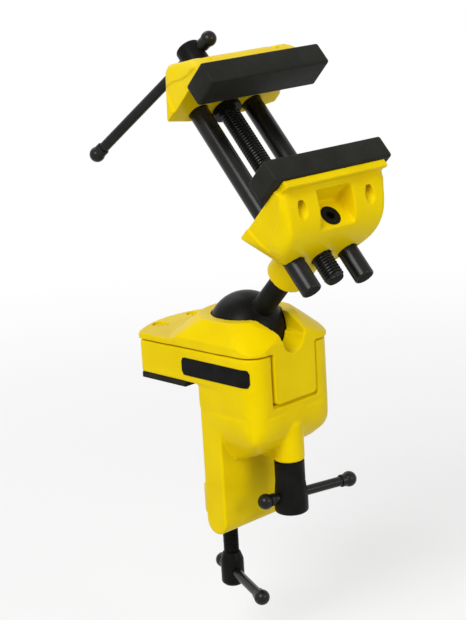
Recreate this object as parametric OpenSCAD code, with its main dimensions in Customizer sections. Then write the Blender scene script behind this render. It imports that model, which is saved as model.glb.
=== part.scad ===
// Clamp-on bench vise whose jaws stand on a lockable ball joint.
// The origin lies under the arm's pad, on the axis of the table clamp. X is across the
// vise, Y runs back over the table and Z is up.

/* [Frame] */
// Width of the body and the arm
body_w = 57; // [50:0.5:66]
// Clamp axis to the rear end of the arm
arm_rear = 36; // [34:0.5:40]
// Radius of the arm's round rear end
rear_r = 49.6; // [44:0.2:60]
// Clamp axis to the front face of the body
body_front = 52; // [50:0.5:56]
// Height of the arm at its rear end, above the pad
arm_h = 16.7; // [14:0.1:22]
// Rise of the seam towards the front, in degrees
seam_rise = 0.8; // [0:0.1:1.4]
// Radius of the body's front corners
front_r = 10; // [6:0.5:13]
// Drop of the rounded belly below the table face
belly_drop = 34; // [32:0.5:42]
// Inset of the leg's sides from the body's
leg_inset = 0.4; // [0.2:0.1:4]
// Thickness of the leg
leg_t = 14; // [12:0.5:18]
// Tail of the leg below the lower jaw
leg_tail = 1; // [0.5:0.5:3]

/* [Table clamp] */
// Clear height of the throat
throat_h = 59; // [50:0.5:75]
// Clamp axis to the leg's rear face
throat_d = 11.7; // [10:0.1:14]
// Thickness of the lower jaw
lower_jaw_t = 15; // [12:0.5:20]
// Outer radius of the lower jaw round the spindle
lower_jaw_r = 12; // [9:0.5:14]
// Thickness of the soft pad under the arm
arm_pad_t = 2.7; // [2:0.1:4]
// Length of the soft pad under the arm
arm_pad_l = 40; // [30:0.5:44]
// Thickness of the table held at rest
table_t = 18; // [10:0.5:40]
// Diameter of the clamp spindle
clamp_screw_d = 8; // [6:0.5:10]
// Length of the clamp spindle from its foot to its hub
clamp_screw_l = 79; // [70:1:110]
// Diameter of the spindle's foot
foot_d = 21; // [16:0.5:26]
// Height of the spindle's foot
foot_h = 7; // [6:0.5:9]
// Chamfer round the foot's face
foot_edge = 0.6; // [0.3:0.1:1.5]
// Diameter of the spindle's hub
clamp_hub_d = 12; // [11:0.5:15]
// Height of the spindle's hub
clamp_hub_h = 18; // [16:0.5:22]
// Top of the spindle's hub to its bar
clamp_bar_drop = 10; // [8.5:0.5:11]
// Chamfer of the hubs' ends
hub_chamfer = 1.5; // [0.5:0.1:2]
// Length of the hubs' tapered shoulders
hub_taper = 4; // [2:0.5:4.5]
// Diameter of the spindle's pin in its foot
foot_pin_d = 5; // [4:0.5:5.5]
// Thickness of the foot over that pin
foot_roof = 2; // [1.5:0.5:3]
// Length of the clamp bar between its ball centres
clamp_bar_l = 56; // [50:1:80]
// Turn of the clamp bar at rest
clamp_bar_turn = 65; // [0:1:180]
// Share of the clamp bar's free slide that it is pushed out at rest
clamp_bar_share = 0.84; // [0:0.01:1]

/* [Ball joint] */
// Diameter of the ball
ball_d = 38.6; // [36:0.2:40]
// Ball axis to the clamp axis
ball_back = 21; // [20:0.5:23]
// Height of the ball centre above the seam's rear end
ball_rise = 6.6; // [6:0.1:9]
// Diameter of the stem
stem_d = 11; // [9:0.5:12]
// Ball centre to the underside of the jaw's boss
stem_l = 45; // [42:0.5:60]
// Lean of the stem towards the front at rest
tilt = 45; // [0:1:45]
// Turn of the stem about the vertical at rest
swivel = -6; // [-20:0.5:20]
// Outer diameter of the seat under the ball
seat_d = 30; // [26:0.5:32]
// Thickness of the seat's floor
seat_floor = 3; // [2:0.5:4]
// Height of the seat's rim over the ball's lowest point
seat_lap = 7.4; // [5:0.2:9]
// Diameter of the stem's shank in the jaw
shank_d = 10; // [7:0.5:10]
// Length of the stem's shank in the jaw
shank_l = 14; // [10:0.5:16]

/* [Socket cover] */
// Height of the cover's edge at the rear
cover_edge = 3.4; // [3:0.1:6]
// Overhang of the cover past the body
cover_lip = 0.6; // [0:0.1:1.2]
// Height of the opening's rim above the ball centre
rim_h = 9; // [8:0.2:9.4]
// Radius of the mound's level top round the ball
mound_r = 23.5; // [22:0.2:25]
// Radius of the mound at its foot
mound_foot_r = 38.5; // [36:0.5:42]
// Width of the mound's top between its sloped sides
mound_top_w = 45; // [42:0.5:48]
// Rise of the mound's upright sides over the plate
mound_side = 2; // [1:0.1:4]
// Fall of the mound's top towards the front, in degrees
front_fall = 23.5; // [18:0.5:26]
// Radius of the roll from the mound's top into the front face
front_roll = 6; // [4:0.5:7]
// Width of the tongue at the front
tongue_w = 29; // [24:0.5:32]
// Thickness of the tongue
tongue_t = 14; // [12.5:0.5:15]
// Drop of the tongue's end below the table face
tongue_drop = 4.7; // [0:0.1:6]
// Width of the slot for the stem
slot_w = 14.4; // [13:0.2:18]
// Flare of the slot on each side, at the opening
slot_flare = 3.8; // [2:0.2:5]
// Flare of the slot on each side, at the front
slot_front_flare = 0.8; // [0.4:0.1:1.6]
// Diameter of the cover screws' heads
cover_screw_head_d = 7; // [6:0.5:8]
// Thickness of the rib that the cover rocks on
rib_t = 3; // [2:0.5:4]
// Length of that rib
rib_l = 40; // [30:1:44]
// Distance between the cover screws
cover_screw_span = 24; // [20:1:28]
// Cover screws to the arm's rear end
cover_screw_in = 7; // [6.5:0.5:8]
// Depth of the cover screws' counterbores
cover_screw_sink = 2.4; // [2:0.1:2.6]
// Height of the cover screws' heads
cover_screw_head_h = 1.2; // [1:0.1:1.6]
// Radial play round the cover screws
cover_screw_fit = 0.6; // [0.5:0.1:1]
// Length of the cover screws' cross slots
cross_l = 4; // [3:0.2:5]
// Width of the cover screws' cross slots
cross_w = 0.8; // [0.6:0.1:1.2]
// Metal under the cover screws' holes
cover_screw_rest = 4; // [3:0.5:6]

/* [Lock] */
// Diameter of the lock screw
lock_screw_d = 8; // [6:0.5:9]
// Lock axis behind the body's front face
lock_in = 7; // [6.5:0.1:7.5]
// Outer diameter of the lock boss
lock_boss_d = 18.6; // [16:0.2:20]
// Drop of the lock boss below the table face
lock_boss_drop = 38; // [36:0.5:46]
// Diameter of the lock knob's neck
lock_neck_d = 14.6; // [13:0.2:16]
// Length of the lock knob's neck
lock_neck_l = 10; // [8:0.5:14]
// Diameter of the lock knob's hub
lock_hub_d = 16.8; // [15:0.2:18]
// Overall length of the lock knob
lock_knob_l = 28; // [26:0.5:34]
// Top of the lock knob to its bar
lock_bar_drop = 18; // [17:0.5:21]
// Depth of the lock screw's end below the seam's rear end
lock_screw_under = 8; // [4:0.5:12]
// Metal between the lock screw and the bar
lock_screw_rest = 2; // [1:0.5:3]
// Length of the lock bar between its ball centres
lock_bar_l = 50; // [44:1:70]
// Turn of the lock bar at rest
lock_bar_turn = -13.6; // [-90:0.1:90]
// Share of the lock bar's free slide that it is pushed out at rest
lock_bar_share = 0.89; // [0:0.01:1]

/* [Tommy bars] */
// Diameter of the small tommy bars
bar_d = 5; // [4:0.2:5.6]
// Diameter of the small bars' ball ends
bar_ball_d = 8; // [7:0.2:9]
// Diameter of the jaw spindle's bar
vise_bar_d = 5.4; // [4.6:0.2:6]
// Diameter of that bar's ball ends
vise_ball_d = 8; // [7.4:0.2:10]
// Length of that bar between its ball centres
vise_bar_l = 88; // [70:1:100]
// Turn of that bar at rest
vise_bar_turn = -70; // [-180:1:180]
// Share of that bar's free slide that it is pushed out at rest
vise_bar_share = 0.99; // [0:0.01:1]
// Thickness of the collars behind the ball ends
bar_collar_t = 0.7; // [0.4:0.1:1]
// Length of those collars
bar_collar_l = 2.2; // [2:0.1:4]

/* [Jaws] */
// Width of the soft jaw faces
jaw_pad_w = 72; // [66:0.5:80]
// Thickness of the soft jaw faces
jaw_pad_t = 12; // [8:0.5:14]
// Height of the soft jaw faces
jaw_pad_h = 17.6; // [14:0.2:20]
// Opening between the jaws at rest
jaw_gap = 46; // [5:0.5:70]
// Ball centre to the top of the jaws
jaw_top = 113.4; // [112:0.2:125]
// Width of the jaw castings at the top
jaw_w = 65; // [62:0.5:68]
// Width of the jaw castings' outer face
jaw_front_w = 60; // [58:0.5:62]
// Width of the jaw castings at the back
jaw_back_w = 67; // [64:0.5:70]
// Radius of the jaw castings' round lower outline
jaw_round = 31.6; // [31:0.2:34]
// Foot of the jaw castings to the centre of that outline
jaw_round_up = 27.2; // [26:0.2:27.6]
// Stem axis to the back of the soft face
jaw_set = 12.6; // [11:0.2:14]
// Stem axis to the jaw's outer face at the rods
jaw_out = 9.5; // [8:0.5:11]
// Power of the outer face's curve up to its shoulder
jaw_bulge = 5; // [3:0.5:6]
// Foot of the casting to the start of its full width at the back
jaw_side_up = 2.6; // [2:0.2:6]
// Diameter of the boss on the stem
boss_d = 20; // [17:0.5:23]
// Distance between the guide rods
rod_span = 33; // [30:0.5:34]
// Diameter of the guide rods
rod_d = 10; // [8:0.5:11]
// Jaw tops to the axes of the rods and the spindle
rod_drop = 40.5; // [40:0.5:46]
// Foot of the jaw castings to those axes
rod_up = 7.5; // [7:0.1:9]
// Reach of the guide rods in front of the stem axis
rod_reach = 25.6; // [20:0.2:30]
// Metal of the moving jaw over the ends of the rods
rod_cap = 3; // [2:0.5:6]
// Diameter of the jaw spindle
lead_d = 10; // [8:0.5:10.5]
// Reach of the spindle in front of the stem axis
lead_reach = 23; // [14:0.2:26]
// Outer diameter of the spindle's nut
nut_d = 15; // [13.5:0.5:16]
// Length of the spindle's nut
nut_l = 17; // [14:0.5:18]
// Diameter of the spindle's hub
lead_hub_d = 13.2; // [12:0.2:18]
// Length of the spindle's hub
lead_hub_l = 16; // [15:0.5:24]
// Length of that hub's shoulder up to its bar
lead_bar_out = 10.7; // [9.5:0.1:12]
// Diameter of the spindle's neck in the moving jaw
lead_neck_d = 9; // [7:0.5:9.5]
// Thickness of the clip behind the moving jaw
clip_t = 3; // [2:0.5:4]
// Width of the clip round the spindle
clip_w = 2.5; // [2:0.5:4]
// Diameter of the nut screw's head
nut_screw_head_d = 10.4; // [9:0.2:12]
// Height of the nut screw's head
nut_screw_head_h = 3; // [2.4:0.2:3.6]
// Width of the nut screw's hexagon
hex_w = 4; // [3:0.5:5]
// Depth of the nut screw's hexagon
hex_deep = 2.5; // [2:0.1:2.8]
// Depth of the nut screw's pocket below the jaw top
pocket_drop = 20; // [18:0.5:22]
// Stem axis to the back wall of that pocket
pocket_back = 8.6; // [7:0.2:9]
// Width of the nut screw's pocket
pocket_w = 21; // [18:0.5:22]
// Distance between the peg holes of the soft faces
peg_span = 41.6; // [36:0.2:46]
// Diameter of the peg holes
peg_d = 5; // [4:0.2:6]
// Jaw tops to the peg holes at the soft face
peg_drop = 12; // [11:0.5:14]
// Thickness of the lip along the jaw's top
jaw_lip_t = 3.8; // [2:0.1:5]
// Step of the lip past the face below it
jaw_lip_step = 0.8; // [0.2:0.1:1.2]
// Height of the lip
jaw_lip_h = 2.4; // [2:0.2:4]
// Height of the wall under the lip
jaw_wall_h = 4; // [2:0.2:5]
// Jaw tops to the lip
jaw_lip_drop = 1.6; // [1:0.1:3]
// Radius of the casting's side corners at the foot
jaw_edge = 7; // [3:0.5:9]
// Radius of the casting's side corners at the top
jaw_edge_top = 1.2; // [1:0.1:2]
// Depth of the recess in the casting's sides
side_recess = 1; // [0.5:0.1:1.5]
// Width of that recess at its top
side_recess_top_w = 4; // [2:0.5:6]
// Width of that recess at its foot
side_recess_low_w = 15; // [10:0.5:17]
// Foot of the casting to that recess
side_recess_up = 11; // [8:0.5:16]

/* [Fits] */
// Radial play of turning and sliding shafts
run_fit = 0.06; // [0.02:0.01:0.1]
// Radial play of the lock screw in the rocking tongue
thread_fit = 0.3; // [0.25:0.05:0.5]
// Gap round the ball
ball_gap = 0.3; // [0.2:0.05:0.5]
// Gap of the seam under the cover
seam_gap = 0.8; // [0.6:0.1:1.5]
// Gap round the tongue
tongue_gap = 0.7; // [0.5:0.1:1.2]
// Gap under a moving head or shoulder
head_gap = 0.3; // [0.2:0.05:0.5]

/* [Hidden] */
$fn = 96;
// Length that reaches past every piece it cuts
over = 60;
// Overlap of shapes that meet on a face
slice_t = 0.02;
// Thickness of the slices that a jaw casting is drawn over
jaw_slice_t = 0.6;
paint = [0.93, 0.80, 0.02];
steel = [0.13, 0.13, 0.14];
soft = [0.17, 0.17, 0.17];

seam_z = arm_pad_t + arm_h;
corner_y = arm_rear - rear_r + sqrt(pow(rear_r, 2) - pow(body_w / 2, 2));
leg_w = body_w - 2 * leg_inset;
ball_z = seam_z + ball_rise;
ball_y = -ball_back;
ball_r = ball_d / 2;
socket_r = ball_r + ball_gap;
front_y = -body_front;
lock_y = front_y + lock_in;
leg_rear = -throat_d;
leg_front = leg_rear - leg_t;
leg_bottom = -throat_h - lower_jaw_t - leg_tail;
foot_top = -table_t;
foot_bottom = foot_top - foot_h;
clamp_hub_top = foot_top - clamp_screw_l;
clamp_bar_z = clamp_hub_top - clamp_bar_drop;
lock_face = -lock_boss_drop - head_gap;
lock_bar_z = lock_face - lock_bar_drop;
lock_screw_low = lock_bar_z + bar_d / 2 + lock_screw_rest;
lock_screw_top = seam_z - lock_screw_under;
seat_bottom = ball_z - ball_r - ball_gap - seat_floor;
seat_top = ball_z - ball_r + seat_lap;
cover_screw_y = arm_rear - cover_screw_in;
rod_z = jaw_top - rod_drop;
fixed_back = jaw_set;
fixed_grip = fixed_back + jaw_pad_t;
moving_grip = fixed_grip + jaw_gap;
moving_back = moving_grip + jaw_pad_t;
moving_axis = moving_back + jaw_set;
moving_face = moving_axis + jaw_out;
rod_end = moving_face - rod_cap;
lead_bar_y = moving_face + head_gap + lead_bar_out;
jaw_h = rod_drop + rod_up;
jaw_bottom = jaw_top - jaw_h;
cover_z = seam_z + seam_gap + cover_edge;
rim_z = ball_z + rim_h;
rim_r = sqrt(pow(socket_r, 2) - pow(rim_h, 2));
cover_front = front_y - cover_lip;

// Height of the seam at a place along Y
function seam_at(y) = seam_z + (corner_y - y) * tan(seam_rise);
// Free slide of a bar to each side, between its ball ends and its hub
function bar_free(l, ball, hub) = l / 2 - ball / 2 - bar_collar_l / 2 - hub / 2 - head_gap;
// Point of an arc
function on_arc(x, y, r, a) = [x + r * cos(a), y + r * sin(a)];

// Outline of the body seen from above
module plan(grow) {
    half = body_w / 2 + grow;
    front = front_y - grow;
    intersection() {
        union() {
            translate([-half, front + front_r])
                square([2 * half, over - front]);
            translate([-half + front_r, front])
                square([2 * (half - front_r), 2 * front_r]);
            for (s = [-1, 1])
                translate([s * (half - front_r), front + front_r])
                    circle(front_r);
        }
        translate([0, arm_rear - rear_r]) {
            circle(rear_r + grow);
            translate([-over, -3 * over])
                square([2 * over, 3 * over]);
        }
    }
}

// Solid whose section in Y and Z is the child, drawn as X and Y
module across(w) {
    rotate([90, 0, 90])
        translate([0, 0, -w / 2])
            linear_extrude(w)
                children();
}

// Body seen from the side: the arm, and the front block over the belly
module body_side() {
    far_rear = arm_rear + over;
    far_front = front_y - over;
    polygon([[far_rear, arm_pad_t], [far_rear, seam_at(far_rear)],
        [far_front, seam_at(far_front)], [far_front, -belly_drop],
        [leg_rear, -belly_drop], [leg_rear, arm_pad_t]]);
}

// Rounded belly: a ball-ended block round the lock's own mid plane
module belly() {
    belly_r = body_w / 2;
    centre_z = belly_r - belly_drop;
    intersection() {
        translate([0, 0, centre_z]) {
            across(body_w)
                translate([leg_front, 0])
                    union() {
                        circle(leg_front - front_y);
                        translate([0, -belly_r])
                            square([leg_rear - leg_front, 2 * belly_r]);
                        translate([front_y - leg_front, 0])
                            square([leg_rear - front_y, over]);
                    }
        }
        translate([0, 0, centre_z])
            rotate([90, 0, 0])
                translate([0, 0, -over / 2])
                    linear_extrude(2 * over) {
                        circle(belly_r);
                        translate([-belly_r, 0])
                            square([2 * belly_r, over]);
                    }
    }
}

module leg() {
    across(leg_w) {
        translate([leg_front, leg_bottom + leg_t / 2])
            square([leg_t, -leg_bottom - leg_t / 2 + arm_pad_t + 1]);
        translate([leg_front + leg_t / 2, leg_bottom + leg_t / 2])
            circle(leg_t / 2);
    }
}

module lower_jaw() {
    translate([0, 0, -throat_h - lower_jaw_t]) {
        cylinder(r = lower_jaw_r, h = lower_jaw_t);
        translate([-lower_jaw_r, leg_rear - 1, 0])
            cube([2 * lower_jaw_r, throat_d + 1, lower_jaw_t]);
    }
}

module lock_boss() {
    translate([0, lock_y, -lock_boss_drop]) {
        cylinder(d = lock_boss_d, h = lock_boss_drop);
        translate([-lock_boss_d / 2, 0, 0])
            cube([lock_boss_d, leg_front - lock_y + 1, lock_boss_drop]);
    }
}

// Space for the tongue, grown all round
module tongue_space(grow) {
    low = -tongue_drop - grow;
    translate([-tongue_w / 2 - grow, front_y - over, low])
        cube([tongue_w + 2 * grow, over + tongue_t + grow, over]);
}

module clamp_frame() {
    color(paint)
        difference() {
            union() {
                intersection() {
                    translate([0, 0, -over])
                        linear_extrude(3 * over)
                            plan(0);
                    across(2 * over)
                        body_side();
                    union() {
                        belly();
                        translate([-over, leg_rear, 0])
                            cube(2 * over);
                    }
                }
                leg();
                lower_jaw();
                lock_boss();
            }
            tongue_space(tongue_gap);
            translate([0, ball_y, ball_z])
                sphere(socket_r);
            translate([0, ball_y, seat_bottom])
                cylinder(d = seat_d + 2 * run_fit, h = over);
            translate([0, lock_y, -lock_boss_drop - 1])
                cylinder(d = lock_screw_d + 2 * head_gap, h = over);
            translate([0, 0, leg_bottom])
                cylinder(d = clamp_screw_d + 2 * run_fit, h = throat_h);
            for (s = [-1, 1])
                translate([s * cover_screw_span / 2, cover_screw_y, arm_pad_t + cover_screw_rest])
                    cylinder(d = cover_screw_head_d / 2 + 2 * run_fit, h = over);
        }
}

module table_pad() {
    half = body_w / 2;
    color(soft)
        intersection() {
            linear_extrude(arm_pad_t)
                plan(0);
            translate([-half, arm_rear - arm_pad_l, 0])
                cube([2 * half, arm_pad_l, arm_pad_t]);
        }
}

// Cover's plate seen from the side, between the seam and its level top
module cover_side() {
    far_rear = arm_rear + over;
    far_front = front_y - over;
    polygon([[far_rear, seam_at(far_rear) + seam_gap], [far_rear, cover_z],
        [far_front, cover_z], [far_front, seam_at(far_front) + seam_gap]]);
}

// Mound seen from the side: its level top falls towards the front and rolls into the front face
module mound_profile() {
    roll_y = cover_front + front_roll;
    roll_z = rim_z - front_roll * cos(front_fall)
        - (ball_y - rim_r + front_roll * sin(front_fall) - roll_y) * tan(front_fall);
    polygon([[over, cover_z - slice_t], [over, rim_z], [ball_y - rim_r, rim_z],
        for (a = [90 + front_fall:8:180]) on_arc(roll_y, roll_z, front_roll, a),
        [cover_front, roll_z], [cover_front, cover_z - slice_t]]);
}

// Mound seen from the front
module mound_section() {
    half = body_w / 2 + cover_lip;
    low = cover_z - slice_t;
    side = cover_z + mound_side;
    top = mound_top_w / 2;
    polygon([[-half, low], [-half, side], [-top, rim_z], [top, rim_z], [half, side], [half, low]]);
}

// Mound round the ball: a low cone with sloped sides
module mound() {
    intersection() {
        translate([0, ball_y, cover_z - slice_t])
            cylinder(r1 = mound_foot_r, r2 = mound_r, h = rim_z - cover_z + slice_t);
        across(2 * over)
            mound_profile();
        rotate([90, 0, 0])
            translate([0, 0, -over])
                linear_extrude(3 * over)
                    mound_section();
    }
}

// Slot for the stem, with its sides flared above the ball's centre
module stem_slot() {
    wide = slot_w / 2 + slot_flare;
    narrow = slot_w / 2 + slot_front_flare;
    far = ball_y - over;
    flare_y = ball_y - rim_r * cos(asin(wide / rim_r));
    translate([0, ball_y, ball_z])
        rotate([90, 0, 0])
            cylinder(d = slot_w, h = over);
    translate([-slot_w / 2, far, ball_z])
        cube([slot_w, over, over]);
    translate([0, 0, ball_z])
        linear_extrude(over)
            polygon([[-wide, ball_y], [-wide, flare_y], [-narrow, cover_front], [-narrow, far],
                [narrow, far], [narrow, cover_front], [wide, flare_y], [wide, ball_y]]);
}

module socket_cover() {
    color(paint)
        difference() {
            union() {
                intersection() {
                    translate([0, 0, -over])
                        linear_extrude(3 * over)
                            plan(cover_lip);
                    union() {
                        across(2 * over)
                            cover_side();
                        mound();
                    }
                }
                intersection() {
                    tongue_space(0);
                    translate([-over, cover_front, -over])
                        cube([2 * over, over, over + cover_z - 1]);
                }
                across(rib_l)
                    polygon([for (y = [corner_y - rib_t, corner_y]) [y, seam_at(y)],
                        for (y = [corner_y, corner_y - rib_t]) [y, seam_at(y) + seam_gap + 1]]);
            }
            translate([0, ball_y, ball_z])
                sphere(socket_r);
            stem_slot();
            translate([0, lock_y, -over])
                cylinder(d = lock_screw_d + 2 * thread_fit, h = over + lock_screw_top + 2);
            for (s = [-1, 1])
                translate([s * cover_screw_span / 2, cover_screw_y, seam_z])
                    cylinder(d = cover_screw_head_d / 2 + 2 * cover_screw_fit, h = over);
            for (s = [-1, 1])
                translate([s * cover_screw_span / 2, cover_screw_y,
                        cover_z - cover_screw_sink])
                    cylinder(d = cover_screw_head_d + 2 * cover_screw_fit, h = over);
        }
}

module cover_screws() {
    head_z = cover_z - cover_screw_sink + head_gap;
    low = arm_pad_t + cover_screw_rest + head_gap;
    color(steel)
        for (s = [-1, 1])
            translate([s * cover_screw_span / 2, cover_screw_y, 0])
                difference() {
                    union() {
                        translate([0, 0, head_z])
                            cylinder(d = cover_screw_head_d, h = cover_screw_head_h);
                        translate([0, 0, low])
                            cylinder(d = cover_screw_head_d / 2, h = head_z - low + head_gap);
                    }
                    for (t = [0, 90])
                        rotate(t)
                            translate([-cross_l / 2, -cross_w / 2, head_z + cover_screw_head_h / 2])
                                cube([cross_l, cross_w, cover_screw_head_h]);
                }
}

module ball_seat() {
    color(steel)
        translate([0, ball_y, 0])
            difference() {
                translate([0, 0, seat_bottom])
                    cylinder(d = seat_d, h = seat_top - seat_bottom);
                translate([0, 0, ball_z])
                    sphere(socket_r);
            }
}

// Stands the child on the stem axis at rest, with the ball centre at its origin
module on_stem() {
    translate([0, ball_y, ball_z])
        rotate([0, 0, swivel])
            rotate([tilt, 0, 0])
                children();
}

module ball_stem() {
    color(steel)
        on_stem() {
            sphere(ball_r);
            cylinder(d = stem_d, h = stem_l);
            cylinder(d = shank_d, h = stem_l + shank_l);
        }
}

// Round bar along X with its middle at the origin
module bar(l, d) {
    rotate([0, 90, 0])
        cylinder(d = d, h = l, center = true);
}

// Two ball ends that close on a bar
module bar_ends(l, d, ball) {
    collar_d = d + 2 * bar_collar_t;
    for (s = [-1, 1])
        rotate([0, s * 90, 0])
            difference() {
                union() {
                    translate([0, 0, l / 2])
                        sphere(d = ball);
                    translate([0, 0, l / 2 - ball / 2 - bar_collar_l / 2])
                        cylinder(d = collar_d, h = ball / 2 + bar_collar_l / 2);
                }
                cylinder(d = d + 2 * run_fit, h = l / 2 + run_fit);
            }
}

module lock_place() {
    translate([0, lock_y, lock_bar_z])
        rotate(lock_bar_turn)
            translate([lock_bar_share * bar_free(lock_bar_l, bar_ball_d, lock_hub_d), 0, 0])
                children();
}

module lock_screw() {
    color(steel)
        translate([0, lock_y, lock_screw_low])
            cylinder(d = lock_screw_d, h = lock_screw_top - lock_screw_low);
}

module lock_knob() {
    color(steel)
        translate([0, lock_y, lock_face])
            difference() {
                rotate([180, 0, 0])
                    rotate_extrude()
                        polygon([[0, 0], [lock_neck_d / 2, 0], [lock_neck_d / 2, lock_neck_l],
                            [lock_hub_d / 2, lock_neck_l + hub_taper],
                            [lock_hub_d / 2, lock_knob_l - hub_chamfer],
                            [lock_hub_d / 2 - hub_chamfer, lock_knob_l], [0, lock_knob_l]]);
                translate([0, 0, lock_screw_low - lock_face])
                    cylinder(d = lock_screw_d + 2 * run_fit, h = lock_knob_l);
                translate([0, 0, lock_bar_z - lock_face])
                    rotate(lock_bar_turn)
                        bar(2 * lock_hub_d, bar_d + 2 * run_fit);
            }
}

module lock_bar() {
    color(steel)
        lock_place()
            bar(lock_bar_l, bar_d);
}

module lock_bar_ends() {
    color(steel)
        lock_place()
            bar_ends(lock_bar_l, bar_d, bar_ball_d);
}

module clamp_place() {
    translate([0, 0, clamp_bar_z])
        rotate(clamp_bar_turn)
            translate([-clamp_bar_share * bar_free(clamp_bar_l, bar_ball_d, clamp_hub_d), 0, 0])
                children();
}

module clamp_screw() {
    neck = clamp_hub_d / 2 - hub_chamfer;
    color(steel)
        difference() {
            union() {
                translate([0, 0, clamp_hub_top])
                    cylinder(d = clamp_screw_d, h = foot_bottom - head_gap - clamp_hub_top);
                translate([0, 0, clamp_hub_top])
                    cylinder(d = foot_pin_d, h = clamp_screw_l - foot_roof - head_gap);
                translate([0, 0, clamp_hub_top])
                    rotate([180, 0, 0])
                        rotate_extrude()
                            polygon([[0, 0], [neck, 0], [clamp_hub_d / 2, hub_taper],
                                [clamp_hub_d / 2, clamp_hub_h - hub_chamfer],
                                [neck, clamp_hub_h], [0, clamp_hub_h]]);
            }
            translate([0, 0, clamp_bar_z])
                rotate(clamp_bar_turn)
                    bar(2 * clamp_hub_d, bar_d + 2 * run_fit);
        }
}

module clamp_foot() {
    edge = foot_d / 2 - foot_edge;
    color(steel)
        difference() {
            translate([0, 0, foot_bottom])
                rotate_extrude()
                    polygon([[0, 0], [foot_d / 3, 0], [foot_d / 2, foot_h / 2],
                        [foot_d / 2, foot_h - foot_edge], [edge, foot_h], [0, foot_h]]);
            translate([0, 0, foot_bottom - 1])
                cylinder(d = foot_pin_d + 2 * run_fit, h = foot_h - foot_roof + 1);
        }
}

module clamp_bar() {
    color(steel)
        clamp_place()
            bar(clamp_bar_l, bar_d);
}

module clamp_bar_ends() {
    color(steel)
        clamp_place()
            bar_ends(clamp_bar_l, bar_d, bar_ball_d);
}

// Half width of a jaw casting's outer face at a height above the ball centre
function jaw_half(z) = let (down = jaw_bottom + jaw_round_up - z)
    down < 0 ? jaw_front_w / 2 : min(jaw_front_w / 2, sqrt(pow(jaw_round, 2) - pow(down, 2)));
// Height of the casting's shoulder over its foot
shoulder_h = jaw_h - jaw_lip_drop - jaw_lip_h - jaw_wall_h;
// Outer face of the wall over the shoulder
wall_y = jaw_set - jaw_lip_t + jaw_lip_step;
// Outer face of a jaw casting at a share t of the shoulder's height
function jaw_face(t) = -jaw_out + (jaw_out + wall_y) * pow(t, jaw_bulge);

// Corners of a slice of a jaw casting at a share t of the shoulder's height, drawn in by inset
module jaw_slice(t, inset) {
    z = jaw_bottom + shoulder_h * t;
    front = jaw_half(z) - inset;
    back = shoulder_h * t < jaw_side_up ? front : jaw_back_w / 2 - inset;
    corner = jaw_edge_top + (jaw_edge - jaw_edge_top) * (1 - t);
    translate([0, 0, z])
        linear_extrude(jaw_slice_t) {
            for (s = [-1, 1])
                translate([s * (front - corner), jaw_face(t) + corner])
                    circle(corner, $fn = 32);
            translate([-back, jaw_set - jaw_slice_t])
                square([2 * back, jaw_slice_t]);
        }
}

// Jaw casting before its holes: the outer face swells towards its foot and the sides spread
// towards the back
module jaw_shell(inset) {
    steps = 10;
    hull()
        for (k = [0:steps])
            jaw_slice(k / steps, inset);
}

// Recess in the casting's sides, seen from the side
module side_recess_shape() {
    low = jaw_bottom + side_recess_up;
    top = jaw_bottom + shoulder_h - jaw_lip_step;
    polygon([[jaw_set - side_recess_low_w, low], [over, low],
        [over, top], [jaw_set - side_recess_top_w, top]]);
}

// Jaw casting, with the stem axis as its Z axis and its outer face towards -Y
module jaw_casting() {
    lip_z = jaw_top - jaw_lip_drop - jaw_lip_h;
    difference() {
        union() {
            jaw_shell(0);
            translate([-jaw_w / 2, jaw_set - jaw_lip_t, lip_z])
                cube([jaw_w, jaw_lip_t, jaw_lip_h]);
            translate([-jaw_w / 2, wall_y, lip_z - jaw_wall_h - jaw_lip_step / 2])
                cube([jaw_w, jaw_set - wall_y, jaw_wall_h + jaw_lip_step]);
        }
        difference() {
            across(2 * over)
                side_recess_shape();
            jaw_shell(side_recess);
        }
        for (s = [-1, 1])
            translate([s * peg_span / 2, jaw_set - 1, jaw_top - peg_drop])
                rotate([90, 0, 0])
                    cylinder(d = peg_d, h = over);
    }
}

module fixed_jaw() {
    color(paint)
        on_stem()
            difference() {
                union() {
                    jaw_casting();
                    translate([0, 0, stem_l])
                        cylinder(d = boss_d, h = rod_z - stem_l);
                }
                translate([0, 0, stem_l - 1])
                    cylinder(d = shank_d + 2 * run_fit, h = shank_l + head_gap + 1);
                for (s = [-1, 1])
                    translate([s * rod_span / 2, over, rod_z])
                        rotate([90, 0, 0])
                            cylinder(d = rod_d + 2 * run_fit, h = 2 * over);
                translate([0, over, rod_z])
                    rotate([90, 0, 0])
                        cylinder(d = lead_d + 2 * head_gap, h = 2 * over);
                translate([0, over, rod_z])
                    rotate([90, 0, 0])
                        cylinder(d = nut_d, h = over - jaw_set + nut_l);
                translate([-pocket_w / 2, -over, jaw_top - pocket_drop])
                    cube([pocket_w, over + pocket_back, over]);
                translate([0, 0, rod_z])
                    cylinder(d = nut_screw_head_d / 2 + 2 * run_fit, h = over);
                translate([0, 0, jaw_top - pocket_drop - nut_screw_head_h])
                    cylinder(d1 = nut_screw_head_d / 2 + 2 * run_fit,
                        d2 = nut_screw_head_d + 2 * run_fit, h = nut_screw_head_h);
            }
}

module lead_nut() {
    color(steel)
        on_stem()
            difference() {
                translate([0, jaw_set, rod_z])
                    rotate([90, 0, 0])
                        cylinder(d = nut_d, h = nut_l);
                translate([0, over, rod_z])
                    rotate([90, 0, 0])
                        cylinder(d = lead_d + 2 * run_fit, h = 2 * over);
                translate([0, 0, rod_z])
                    cylinder(d = nut_screw_head_d / 2 + 2 * run_fit, h = over);
            }
}

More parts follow.
